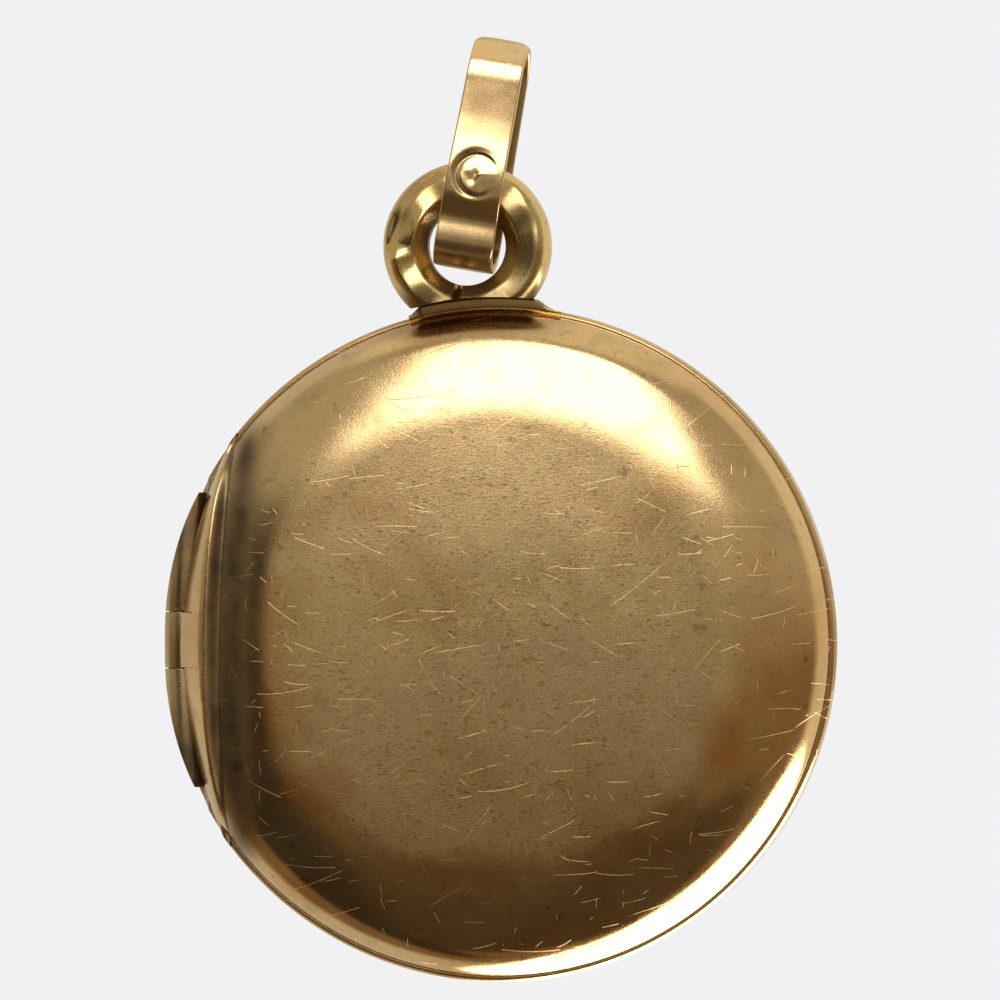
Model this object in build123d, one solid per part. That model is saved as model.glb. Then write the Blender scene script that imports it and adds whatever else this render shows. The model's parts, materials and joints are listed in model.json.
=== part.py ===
from build123d import *
import math
import os

# Round two-leaved locket with a strip bail, in millimetres.
# The pieces are drawn about the middle of the case: X to the right, Y away from the
# front leaf, Z up, with the seam between the two leaves on the plane Y = 0. Each piece
# is then moved so that the origin is the middle of the chain opening in the bail.

os.makedirs("parts", exist_ok=True)

# ---- Case: two domed leaves, one in front of the seam and one behind it
case_radius = 12.5
flange_lip = 0.35           # flat lip left round the foot of each dome
flange_height = 0.65        # from the seam to the foot of the dome
flange_chamfer = 0.12
shell_wall = 0.45
seam_gap = 0.04
shoulder_width = 4.15       # radial width of the rounded part of the dome
roll_width = 1.15           # radial width of the tight roll at the dome's foot
crown_slope = 5.7           # degrees, where the crown meets the shoulder
shoulder_slope = 22.0       # degrees, where the shoulder meets the roll
foot_slope = 80.0           # degrees, at the foot of the dome
nick_radius = 0.35          # thumbnail nick in the front flange
nick_depth = 0.2
nick_low = -1.7
nick_high = 3.1

# ---- Hinge: three knuckles on one pin, along Z at the left of the case
knuckle_radius = 0.78
pin_radius = 0.3
pin_clearance = 0.03        # round the pin, in the knuckle that turns on it
turning_clearance = 0.06    # between a knuckle and the other leaf's bearer
solder_gap = 0.01           # between pieces that are soldered or pressed together
knuckle_gap = 0.04
middle_knuckle_length = 2.06
outer_knuckle_length = 4.4
hinge_height = 0.15         # middle of the hinge above the middle of the case
bearer_overlap = 0.06       # how far the front bearer's edge passes the hinge axis
bearer_edge_radius = 19.0   # plan radius of the front bearer's edge
bearer_crest_width = 0.7    # from that edge to the crest of the ridge
bearer_wall = 0.54          # from the barrel's inner side to the bearers' root in the shells
bearer_root_radius = 66.0   # plan radius of that nearly straight root
bearer_rise = 0.35          # crest of the ridge above the dome
bearer_edge_wall = 0.32     # metal over the barrel at the front bearer's edge
bearer_slope_height = 1.35  # from that edge up to the crest
rear_bearer_wall = 0.57     # metal behind the barrel in the rear bearer
rear_flange_relief = 0.02   # between the middle knuckle's back and the rear flange

# ---- Inside: a seat, a photo frame, a window and a photo card in each leaf
seat_hinge_gap = 0.17       # between the bearers' root and the seat's bore
seat_ledge_width = 0.63
seat_ledge = 0.25
frame_height = 0.8
frame_clearance = 0.03
frame_lip = 1.0
frame_lip_height = 0.28
frame_wall = 0.37
window_thickness = 0.22
card_thickness = 0.25
disc_clearance = 0.03       # round the window and the card, in the frame
collar_wall = 0.4
collar_reach = 0.5          # how far the snap collar enters the front leaf
collar_clearance = 0.05
collar_end_clearance = 0.15 # from the collar's end to the front seat
collar_hinge_relief = 1.0   # from the bearers' root to where the collar starts

# ---- Suspension ring, soldered to the front leaf on a foot
ring_sink = 1.23            # how much of the ring is cut away to sit on its foot
ring_lean = 4.25            # degrees to the left of vertical
ring_radius = 3.13
ring_hole_radius = 1.45
ring_face_inner_radius = 1.9
ring_face_outer_radius = 2.5
ring_depth = 2.0
ring_hole_land = 0.9        # straight part of the hole's wall
foot_thickness = 0.35
foot_half_angle = 11.1
foot_reach = 0.3            # foot's front in front of the flange
foot_back = -0.1

# ---- Bail: a flat strip bent into a long loop through the ring
bail_lean = 10.0            # degrees to the right of vertical
bail_strip = 0.38
bail_side_clearance = 0.17  # between the loop and each face of the ring
bail_hole_clearance = 0.0413  # between the strip's corners and the ring's hole
bail_length = 8.65
bail_bottom_width = 2.2
bail_top_width = 2.0
bail_corner = 0.3
stamp_radius = 0.95         # shallow blank cartouche on the front of the strip
stamp_depth = 0.05
stamp_height = 2.7

# ---- Places worked out from the sizes above
dome_radius = case_radius - flange_lip
hinge_x = -(case_radius - knuckle_radius)
bearer_x = hinge_x - bearer_overlap + bearer_edge_radius
bearer_edge_height = knuckle_radius + bearer_edge_wall
crest_radius = bearer_edge_radius - bearer_crest_width
crest_height = bearer_edge_height + bearer_slope_height
bearer_root = hinge_x + knuckle_radius + bearer_wall
root_x = bearer_root + bearer_root_radius
rear_bearer_height = knuckle_radius + rear_bearer_wall
cavity_radius = dome_radius - shell_wall
seat_height = collar_reach + collar_end_clearance
seat_radius = -bearer_root - seat_hinge_gap
seat_ledge_radius = seat_radius - seat_ledge_width
frame_radius = seat_radius - frame_clearance
disc_radius = frame_radius - frame_wall - disc_clearance
frame_top = seat_height + frame_height
collar_radius = cavity_radius - collar_clearance
foot_front = -(flange_height + foot_reach)
ring_plane = foot_back - ring_depth / 2
ring_centre_distance = case_radius + foot_thickness + ring_radius - ring_sink
ring_x = -ring_centre_distance * math.sin(math.radians(ring_lean))
ring_z = ring_centre_distance * math.cos(math.radians(ring_lean))
bail_inner_radius = ring_depth / 2 + bail_side_clearance
bail_outer_radius = bail_inner_radius + bail_strip
bail_corner_reach = ring_hole_radius - bail_hole_clearance
bail_drop = math.sqrt(bail_corner_reach ** 2 - (bail_bottom_width / 2) ** 2)
bail_top = bail_length - bail_drop
bend_centre = bail_top - bail_outer_radius
bail_turn = Pos(ring_x, ring_plane, ring_z) * Rot(0, bail_lean, 0)
chain_opening = (bail_turn * Pos(0, 0, bend_centre)).position
FRONT = -1
REAR = 1
BEYOND = 40.0               # longer than the whole case, for cutting


def turned(points):
    """Solid turned about the case's axis from (radius, y) points."""
    return revolve(make_face(Polyline(*points, close=True)), Axis.Y)


def ring_of(side, inner, outer, low, high):
    """Turned ring between two radii and two heights from the seam."""
    low_y, high_y = side * low, side * high
    return turned([(inner, low_y), (outer, low_y), (outer, high_y), (inner, high_y)])


def disc_of(side, radius, low, high):
    """Flat disc between two heights from the seam."""
    return ring_of(side, 0, radius, low, high)


def dome_stations():
    """Radius, height from the seam and slope where the dome's arcs meet, crown first."""
    radii = [0, dome_radius - shoulder_width, dome_radius - roll_width, dome_radius]
    slopes = [math.radians(a) for a in (0, crown_slope, shoulder_slope, foot_slope)]
    bends = []
    drops = [0]
    for i in range(3):
        bend = (radii[i + 1] - radii[i]) / (math.sin(slopes[i + 1]) - math.sin(slopes[i]))
        bends.append(bend)
        drops.append(drops[-1] + bend * (math.cos(slopes[i]) - math.cos(slopes[i + 1])))
    top = flange_height + drops[-1]
    return radii, [top - d for d in drops], slopes, bends


def dome(side, offset):
    """Solid under the dome, or under a surface parallel to it, down to the seam plane."""
    radii, heights, slopes, bends = dome_stations()

    def at(i, slope):
        """Point of arc i, or of its parallel, where it has this slope."""
        centre_r = radii[i] - bends[i] * math.sin(slopes[i])
        centre_h = heights[i] - bends[i] * math.cos(slopes[i])
        reach = bends[i] + offset
        r = centre_r + reach * math.sin(slope)
        h = centre_h + reach * math.cos(slope)
        return (r, side * h)

    arcs = []
    for i in range(3):
        middle = (slopes[i] + slopes[i + 1]) / 2
        arcs.append(ThreePointArc(at(i, slopes[i]), at(i, middle), at(i, slopes[i + 1])))
    start, end = at(0, slopes[0]), at(2, slopes[3])
    sides = [Line(end, (end[0], 0)), Line((end[0], 0), (0, 0)), Line((0, 0), start)]
    return revolve(make_face(arcs + sides), Axis.Y)


def along_z(x, y, radius, low, high):
    """Cylinder along Z."""
    align = (Align.CENTER, Align.CENTER, Align.MIN)
    return Pos(x, y, low) * Cylinder(radius, high - low, align=align)


def along_y(x, z, radius, low=-BEYOND, high=BEYOND):
    """Cylinder along Y."""
    middle = (low + high) / 2
    return Pos(x, middle, z) * Rot(90, 0, 0) * Cylinder(radius, high - low)


def block(x, y, z):
    """Box between two limits on each axis."""
    size = [high - low for low, high in (x, y, z)]
    middle = [(high + low) / 2 for low, high in (x, y, z)]
    return Pos(*middle) * Box(*size)


def hinge_zone(y, gap=0.0):
    """The part of the case's rim that the two hinge bearers take up, seen along Y."""
    half_length = case_radius + gap
    zone = block((-half_length, 0), y, (-half_length, half_length))
    return zone - along_y(root_x, hinge_height, bearer_root_radius - gap)


def slab(side, low, high):
    """Limits on Y between two heights from the seam."""
    return (min(side * low, side * high), max(side * low, side * high))


knuckle_low = hinge_height - middle_knuckle_length / 2
knuckle_high = hinge_height + middle_knuckle_length / 2
barrel_low = knuckle_low - knuckle_gap - outer_knuckle_length
barrel_high = knuckle_high + knuckle_gap + outer_knuckle_length
half_seam = seam_gap / 2
rim_cylinder = along_y(0, 0, case_radius)


def shell(side):
    """One leaf: a pressed dome on a flat flange, open towards the seam."""
    edge = case_radius - flange_chamfer
    shoulder = flange_height - flange_chamfer
    flange = turned([
        (cavity_radius, side * half_seam),
        (case_radius, side * half_seam),
        (case_radius, side * shoulder),
        (edge, side * flange_height),
        (cavity_radius, side * flange_height),
    ])
    body = dome(side, 0) + flange - dome(side, -shell_wall)
    return body - block((-BEYOND, BEYOND), slab(side, -1, half_seam), (-BEYOND, BEYOND))


def knuckle(low, high, bore):
    """One length of hinge tube, its outside filed flush with the case's outline."""
    tube = along_z(hinge_x, 0, knuckle_radius, low, high)
    tube -= along_z(hinge_x, 0, bore, low - 1, high + 1)
    return tube & rim_cylinder


def channel(own_low, own_high):
    """Room for the barrel in a bearer: close on its own knuckles, clear of the others."""
    clear = along_z(hinge_x, 0, knuckle_radius + turning_clearance, -BEYOND, BEYOND)
    close = along_z(hinge_x, 0, knuckle_radius + solder_gap, -BEYOND, BEYOND)
    own = block((-BEYOND, 0), (-BEYOND, BEYOND), (own_low, own_high))
    return (clear - own) + (close & own)


def front_bearer():
    """The raised ridge that carries the middle knuckle on the front leaf."""
    profile = [
        (0, -half_seam),
        (0, -BEYOND),
        (crest_radius - 1, -BEYOND),
        (crest_radius, -crest_height),
        (bearer_edge_radius, -bearer_edge_height),
        (bearer_edge_radius, -half_seam),
    ]
    ridge = Pos(bearer_x, 0, hinge_height) * turned(profile)
    body = ridge & dome(FRONT, bearer_rise) & hinge_zone((-BEYOND, 0))
    half_gap = knuckle_gap / 2
    return body & rim_cylinder - channel(knuckle_low - half_gap, knuckle_high + half_gap)


def rear_bearer():
    """The seat of the two outer knuckles, flush with the outline of the rear leaf."""
    body = rim_cylinder & hinge_zone(slab(REAR, half_seam, rear_bearer_height))
    body -= channel(knuckle_low, knuckle_high)
    return body


def seat(side):
    """Soldered ring that holds the photo frame inside a leaf."""
    ledge_top = frame_top + seat_ledge
    body = turned([
        (seat_radius, side * seat_height),
        (case_radius, side * seat_height),
        (case_radius, side * ledge_top),
        (seat_ledge_radius, side * ledge_top),
        (seat_ledge_radius, side * frame_top),
        (seat_radius, side * frame_top),
    ])
    body &= dome(side, -shell_wall - solder_gap)
    return body - hinge_zone((-BEYOND, BEYOND), solder_gap)


def photo_frame(side):
    """Pressed frame with a lip over the edge of its window."""
    lip_low = seat_height + frame_lip_height
    return turned([
        (frame_radius - frame_lip, side * seat_height),
        (frame_radius, side * seat_height),
        (frame_radius, side * frame_top),
        (frame_radius - frame_wall, side * frame_top),
        (frame_radius - frame_wall, side * lip_low),
        (frame_radius - frame_lip, side * lip_low),
    ])


window_low = seat_height + frame_lip_height
card_low = window_low + window_thickness


def window(side):
    """Flat glass under the frame's lip."""
    return disc_of(side, disc_radius, window_low, card_low)


def photo_card(side):
    """Blank card behind the window."""
    return disc_of(side, disc_radius, card_low, card_low + card_thickness)


def snap_collar():
    """The rear seat with a collar that snaps inside the front leaf's flange."""
    collar = ring_of(REAR, collar_radius - collar_wall, collar_radius, -collar_reach, frame_top)
    collar &= block((-BEYOND, BEYOND), (-collar_reach, frame_top), (-BEYOND, BEYOND))
    relief = block((-BEYOND, bearer_root + collar_hinge_relief), (-1, seat_height), (-BEYOND, BEYOND))
    collar = (collar - relief) & (dome(REAR, -shell_wall - solder_gap)
                                  + disc_of(REAR, case_radius, -collar_reach, seat_height))
    return seat(REAR) + (collar - hinge_zone((-BEYOND, BEYOND), solder_gap))


def suspension_ring():
    """Thick ring with a countersunk hole and a rounded outside, cut to sit on its foot."""
    half = ring_depth / 2
    land = ring_hole_land / 2
    outline = [
        Line((ring_hole_radius, -land), (ring_hole_radius, land)),
        Line((ring_hole_radius, land), (ring_face_inner_radius, half)),
        Line((ring_face_inner_radius, half), (ring_face_outer_radius, half)),
        ThreePointArc((ring_face_outer_radius, half), (ring_radius, 0),
                      (ring_face_outer_radius, -half)),
        Line((ring_face_outer_radius, -half), (ring_face_inner_radius, -half)),
        Line((ring_face_inner_radius, -half), (ring_hole_radius, -land)),
    ]
    ring = Pos(ring_x, ring_plane, ring_z) * revolve(make_face(outline), Axis.Y)
    return ring - along_y(0, 0, case_radius + foot_thickness)


def ring_foot():
    """Curved plate under the ring, soldered on the front flange and the dome's foot."""
    reach = case_radius + foot_thickness
    across = BEYOND * math.tan(math.radians(foot_half_angle))
    corners = [(0, 0), (-across, BEYOND), (across, BEYOND)]
    wedge = extrude(Plane.XZ * make_face(Polyline(*corners, close=True)), BEYOND, both=True)
    plate = along_y(0, 0, reach, foot_front, foot_back) & (Rot(0, -ring_lean, 0) * wedge)
    plate -= dome(FRONT, solder_gap)
    return plate - disc_of(FRONT, case_radius + solder_gap, -1, flange_height)


def bail():
    """Strip loop: a long flat-sided ring seen from the side, tapered seen from the front."""
    lower_bend_centre = bail_outer_radius - bail_drop
    middle = (bend_centre + lower_bend_centre) / 2
    straight = bend_centre - lower_bend_centre

    def slot(radius):
        """Round-ended bar as thick as the loop at this radius of its bends."""
        face = SlotCenterToCenter(straight, 2 * radius, rotation=90)
        return extrude(Plane.YZ * Pos(0, middle) * face, bail_bottom_width, both=True)

    half_bottom = bail_bottom_width / 2
    half_top = bail_top_width / 2
    front = make_face(Polyline((-half_bottom, -bail_drop), (half_bottom, -bail_drop),
                               (half_top, bail_top), (-half_top, bail_top), close=True))
    front = fillet(front.vertices().group_by(Axis.Y)[-1], bail_corner)
    outline = extrude(Plane.XZ * front, BEYOND, both=True)
    strip = (slot(bail_outer_radius) - slot(bail_inner_radius)) & outline
    stamp = along_y(0, stamp_height, stamp_radius, -BEYOND, stamp_depth - bail_outer_radius)
    return bail_turn * (strip - stamp)


front_zone = hinge_zone((-BEYOND, 0), solder_gap)
rear_zone = hinge_zone(slab(REAR, -1, rear_bearer_height + solder_gap), solder_gap)
nick = along_z(case_radius + nick_radius - nick_depth, -half_seam, nick_radius, nick_low, nick_high)
pin = along_z(hinge_x, 0, pin_radius, barrel_low, barrel_high) & rim_cylinder
flange_cut = block((-BEYOND, hinge_x), (-1, knuckle_radius + rear_flange_relief),
                   (-BEYOND, BEYOND))

nodes = {
    "bail": bail(),
    "suspension_ring": suspension_ring(),
    "ring_foot": ring_foot(),
    "front_shell": shell(FRONT) - front_zone - nick,
    "front_hinge_bearer": front_bearer(),
    "middle_knuckle": knuckle(knuckle_low, knuckle_high, pin_radius + pin_clearance),
    "front_seat_ring": seat(FRONT),
    "rear_shell": shell(REAR) - rear_zone,
    "rear_hinge_bearer": rear_bearer() - flange_cut,
    "upper_knuckle": knuckle(knuckle_high + knuckle_gap, barrel_high, pin_radius + solder_gap),
    "lower_knuckle": knuckle(barrel_low, knuckle_low - knuckle_gap, pin_radius + solder_gap),
    "hinge_pin": pin,
    "rear_snap_collar": snap_collar(),
}
for name, side in (("front", FRONT), ("rear", REAR)):
    nodes[name + "_photo_frame"] = photo_frame(side)
    nodes[name + "_window"] = window(side)
    nodes[name + "_photo_card"] = photo_card(side)

to_origin = Pos(-chain_opening.X, -chain_opening.Y, -chain_opening.Z)
for name, solid in nodes.items():
    export_step(to_origin * solid, f"parts/{name}.step")

ring_centre = (to_origin * Pos(ring_x, ring_plane, ring_z)).position
hinge_centre = (to_origin * Pos(hinge_x, 0, hinge_height)).position
case_centre = to_origin.position
print("ring centre", ring_centre)
print("hinge centre", hinge_centre)
print("case centre", case_centre)
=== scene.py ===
import json
import math

import bmesh
import bpy
import numpy as np
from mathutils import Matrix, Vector

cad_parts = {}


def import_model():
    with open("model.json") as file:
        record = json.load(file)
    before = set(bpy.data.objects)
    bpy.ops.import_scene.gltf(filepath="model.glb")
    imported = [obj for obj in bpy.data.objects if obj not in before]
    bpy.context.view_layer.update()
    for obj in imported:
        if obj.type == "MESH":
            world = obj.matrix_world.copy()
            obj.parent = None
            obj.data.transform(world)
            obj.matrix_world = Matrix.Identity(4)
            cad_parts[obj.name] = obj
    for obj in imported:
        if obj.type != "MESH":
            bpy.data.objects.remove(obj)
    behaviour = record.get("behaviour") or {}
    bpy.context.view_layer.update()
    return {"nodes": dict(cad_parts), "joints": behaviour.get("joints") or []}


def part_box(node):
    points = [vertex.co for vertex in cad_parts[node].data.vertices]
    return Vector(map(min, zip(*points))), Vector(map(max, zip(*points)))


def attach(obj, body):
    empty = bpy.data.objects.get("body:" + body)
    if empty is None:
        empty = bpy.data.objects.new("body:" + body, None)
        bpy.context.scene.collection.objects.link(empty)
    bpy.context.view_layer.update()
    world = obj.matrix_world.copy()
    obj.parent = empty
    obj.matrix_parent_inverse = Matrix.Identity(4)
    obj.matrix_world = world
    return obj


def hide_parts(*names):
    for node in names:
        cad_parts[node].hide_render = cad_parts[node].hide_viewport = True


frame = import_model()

# All shapes are worked out in millimetres about the middle of the case: X right, Z up,
# and a height from the seam that points to the front (-Y) or to the back (+Y).
MM = 0.001
FRONT = -1
REAR = 1
SEED = 7


def box_mm(node):
    """Lowest and highest corner of a CAD node, in millimetres."""
    low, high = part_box(node)
    return np.array(low) / MM, np.array(high) / MM


def joint_mm(name):
    """Where a joint's axis passes, in millimetres."""
    joint = next(j for j in frame["joints"] if j["name"] == name)
    return np.array(joint["pos_m"]) / MM


front_low, front_high = box_mm("front_shell")
rear_low = box_mm("rear_shell")[0]
CASE_RADIUS = (front_high[2] - front_low[2]) / 2
CENTRE = np.array([front_high[0] - CASE_RADIUS, (front_high[1] + rear_low[1]) / 2,
                   (front_high[2] + front_low[2]) / 2])
HALF_SEAM = (rear_low[1] - front_high[1]) / 2
DOME_TOP = CENTRE[1] - front_low[1]
HINGE = joint_mm("locket_hinge") - CENTRE
RING = joint_mm("ring_swing") - CENTRE

# ---- Sizes of the case, in millimetres
FLANGE_LIP = 0.20
FLANGE_HEIGHT = 0.65
FLANGE_CHAMFER = 0.12
SHELL_WALL = 0.45
DOME_RADIUS = CASE_RADIUS - FLANGE_LIP
SHOULDER_WIDTH = 4.15
ROLL_WIDTH = 1.15
SLOPES = [math.radians(a) for a in (0.0, 5.7, 22.0, 80.0)]
PIECE_GAP = 0.01
NICK_RADIUS = 0.35
NICK_DEPTH = 0.2
NICK_LOW, NICK_HIGH = -1.7, 3.1

# ---- Hinge ridge: the lines seen from the front are arcs through (apex x, centre z, radius)
ROOT_LINE = (-10.22, -1.2, 85.0)
CREST_LINE = (-10.98, 0.15, 28.0)
EDGE_LINE = (-11.66, -0.1, 18.3)
REAR_ROOT_LINE = (-10.40, HINGE[2], 66.0)
KNUCKLE_RADIUS = 0.78
TURNING_RADIUS = 0.84
KNUCKLE_BORE = 0.325
PIN_RADIUS = 0.3
PIN_CHAMFER = 0.04
REAR_BEARER_HEIGHT = 1.35
RIDGE_RISE = 0.32
CREST_BLEND = 0.15          # how softly the crest is rounded over
EDGE_HEIGHT_TIP, EDGE_HEIGHT_MIDDLE = 0.54, 1.10
VALLEY_DEPTH = 0.13
VALLEY_WIDTH = 0.8
EDGE_STEP = 0.12


def arc_line(line, z):
    """X of one of the hinge's arcs at a height z."""
    apex, middle, radius = line
    return apex + radius - np.sqrt(radius ** 2 - (z - middle) ** 2)


def arc_reach(line, angle):
    """Distance from the middle of the case to one of the arcs, in a direction in the case's plane."""
    apex, middle, radius = line
    cx, cz = apex + radius, middle
    along = np.cos(angle) * cx + np.sin(angle) * cz
    return along + np.sqrt(along ** 2 - cx ** 2 - cz ** 2 + radius ** 2)


def rim_x(z):
    """X of the case's outline on the hinge side."""
    return -np.sqrt(np.maximum(CASE_RADIUS ** 2 - z ** 2, 0.0))


# ---- The dome's profile: three arcs that meet with no kink
def dome_arcs():
    """For each arc: centre radius, centre height, bend radius, first and last slope."""
    radii = [0.0, DOME_RADIUS - SHOULDER_WIDTH, DOME_RADIUS - ROLL_WIDTH, DOME_RADIUS]
    bends, drops = [], [0.0]
    for i in range(3):
        bend = (radii[i + 1] - radii[i]) / (math.sin(SLOPES[i + 1]) - math.sin(SLOPES[i]))
        bends.append(bend)
        drops.append(drops[-1] + bend * (math.cos(SLOPES[i]) - math.cos(SLOPES[i + 1])))
    arcs = []
    for i in range(3):
        height = DOME_TOP - drops[i]
        centre_r = radii[i] - bends[i] * math.sin(SLOPES[i])
        centre_h = height - bends[i] * math.cos(SLOPES[i])
        arcs.append((centre_r, centre_h, bends[i], SLOPES[i], SLOPES[i + 1]))
    return arcs


def dome_points(offset, counts):
    """(radius, height) along the dome, or along a surface parallel to it, crown first."""
    points = []
    for (centre_r, centre_h, bend, first, last), count in zip(dome_arcs(), counts):
        for t in np.linspace(first, last, count, endpoint=False):
            reach = bend + offset
            points.append((centre_r + reach * math.sin(t), centre_h + reach * math.cos(t)))
    centre_r, centre_h, bend, first, last = dome_arcs()[-1]
    reach = bend + offset
    points.append((centre_r + reach * math.sin(last), centre_h + reach * math.cos(last)))
    return np.array(points)


OUTER = dome_points(0.0, (200, 200, 200))
INNER = dome_points(-SHELL_WALL, (200, 200, 200))


def outer_height(r):
    """Height of the dome, and of the flange beyond its foot."""
    return np.interp(r, OUTER[:, 0], OUTER[:, 1])


def inner_height(r):
    """Height of the dome's inside."""
    return np.interp(r, INNER[:, 0], INNER[:, 1], right=0.0)


# ---- Making meshes
def smooth_step(x):
    """0 below 0, 1 above 1, smooth between them."""
    x = np.clip(x, 0.0, 1.0)
    return x * x * (3 - 2 * x)


def rounded(points, radius, steps=4, closed=True):
    """The outline with each corner rounded."""
    pts = [np.array(p, float) for p in points]
    count = len(pts)
    out = []
    for i, p in enumerate(pts):
        if not closed and i in (0, count - 1):
            out.append(p)
            continue
        before, after = pts[i - 1] - p, pts[(i + 1) % count] - p
        reach = min(radius, 0.45 * np.linalg.norm(before), 0.45 * np.linalg.norm(after))
        start = p + before / np.linalg.norm(before) * reach
        end = p + after / np.linalg.norm(after) * reach
        for t in np.linspace(0, 1, steps):
            out.append((1 - t) ** 2 * start + 2 * t * (1 - t) * p + t ** 2 * end)
    return np.array(out)


def grid_faces(rows, columns, wrap_rows, wrap_columns):
    """Quads of a grid of points."""
    i = np.arange(rows if wrap_rows else rows - 1)
    j = np.arange(columns if wrap_columns else columns - 1)
    i, j = [a.ravel() for a in np.meshgrid(i, j, indexing="ij")]
    i2, j2 = (i + 1) % rows, (j + 1) % columns
    return np.stack([i * columns + j, i2 * columns + j, i2 * columns + j2, i * columns + j2], 1)


def new_mesh(name, points, faces, sharp_angle=32.0, painted_shade=None):
    """An object from points in millimetres about the case's middle."""
    mesh = bpy.data.meshes.new(name)
    coords = (np.asarray(points, float).reshape(-1, 3) + CENTRE) * MM
    mesh.from_pydata(coords.tolist(), [], faces.tolist())
    # Painted shade: a 0 to 1 darkening per point that the gold materials mix into the colour, laid in
    # creases, recesses and under other parts
    layer = mesh.attributes.new("painted_shade", "FLOAT", "POINT")
    if painted_shade is not None:
        layer.data.foreach_set("value", np.asarray(painted_shade, np.float32).ravel())
    bm = bmesh.new()
    bm.from_mesh(mesh)
    bmesh.ops.remove_doubles(bm, verts=bm.verts, dist=2e-7)
    bmesh.ops.dissolve_degenerate(bm, edges=bm.edges, dist=1e-7)
    bmesh.ops.recalc_face_normals(bm, faces=bm.faces)
    bm.to_mesh(mesh)
    bm.free()
    shade(mesh, sharp_angle)
    obj = bpy.data.objects.new(name, mesh)
    bpy.context.scene.collection.objects.link(obj)
    return obj


def shade(mesh, sharp_angle):
    """Smooth shading with edges kept sharp above an angle."""
    mesh.polygons.foreach_set("use_smooth", [True] * len(mesh.polygons))
    mesh.set_sharp_from_angle(angle=math.radians(sharp_angle))
    mesh.update()


def finish_piece(obj, body, slot, material, *nodes):
    """Places a piece in the frame: its body, its finish and the CAD nodes that it stands for."""
    obj.data.materials.append(material)
    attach(obj, body)
    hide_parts(*nodes)
    return obj


# ---- Wear that is really in the surface
def wear_functions():
    """Shallow dents and slow waves of the pressed domes, as sums over a seeded list."""
    random = np.random.default_rng(SEED)
    dents = []
    for _ in range(46):
        place = random.uniform(-11, 11, 2)
        size = random.uniform(0.25, 1.3)
        depth = random.uniform(0.002, 0.011) * size
        dents.append((place, size, depth))
    waves = []
    for _ in range(9):
        turn = random.uniform(0, math.pi)
        length = random.uniform(3.5, 11.0)
        waves.append((math.cos(turn), math.sin(turn), 2 * math.pi / length,
                      random.uniform(0, 2 * math.pi), random.uniform(0.0008, 0.0022)))
    return dents, waves


DENTS, WAVES = wear_functions()


def wear(x, z, flip=1.0):
    """How far the pressed surface stands back from the true dome."""
    total = np.zeros_like(x)
    for (dx, dz), size, depth in DENTS:
        total += depth * np.exp(-((x * flip - dx) ** 2 + (z - dz) ** 2) / size ** 2)
    for cx, cz, k, phase, height in WAVES:
        total += height * np.sin(k * (cx * x * flip + cz * z) + phase)
    return total


# ---- Shells
def polar_angles(line):
    """Columns round the case, with extra ones exactly where the hinge's root meets the steps."""
    angles = list(np.linspace(0, 2 * math.pi, 640, endpoint=False))
    for reach in (INNER[-1, 0], DOME_RADIUS, CASE_RADIUS - FLANGE_CHAMFER, CASE_RADIUS):
        for low, high in ((math.pi / 2, math.pi), (3 * math.pi / 2, math.pi)):
            for _ in range(50):
                middle = (low + high) / 2
                if arc_reach(line, middle) > reach:
                    low = middle
                else:
                    high = middle
            angles.append((low + high) / 2)
    return np.array(sorted(angles))


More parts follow.
